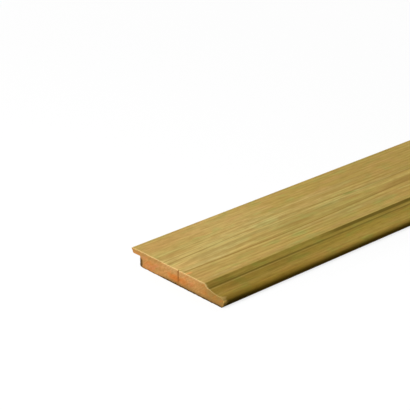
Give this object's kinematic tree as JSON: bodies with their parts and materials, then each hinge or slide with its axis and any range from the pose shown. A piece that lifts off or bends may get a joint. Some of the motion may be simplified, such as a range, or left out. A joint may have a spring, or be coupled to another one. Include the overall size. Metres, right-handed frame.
{
  "type": "weatherboard",
  "caption": "Length of moulded softwood shiplap cladding with a flat face, a rebated lip along one edge and a coved tongue with a rounded nose along the other.",
  "frame": {"origin": "middle of the board's footprint, on the plane of its back", "axes": "+X along the board, +Y across it from the tongue to the lip, +Z out of the weather face"},
  "size_m": [1.8, 0.145, 0.018],
  "materials": {
    "treated_softwood": "planed, pressure treated with a green-tinted preservative, unpainted"
  },
  "bodies": {
    "root": {"weatherboard": "treated_softwood"}
  },
  "joints": []
}
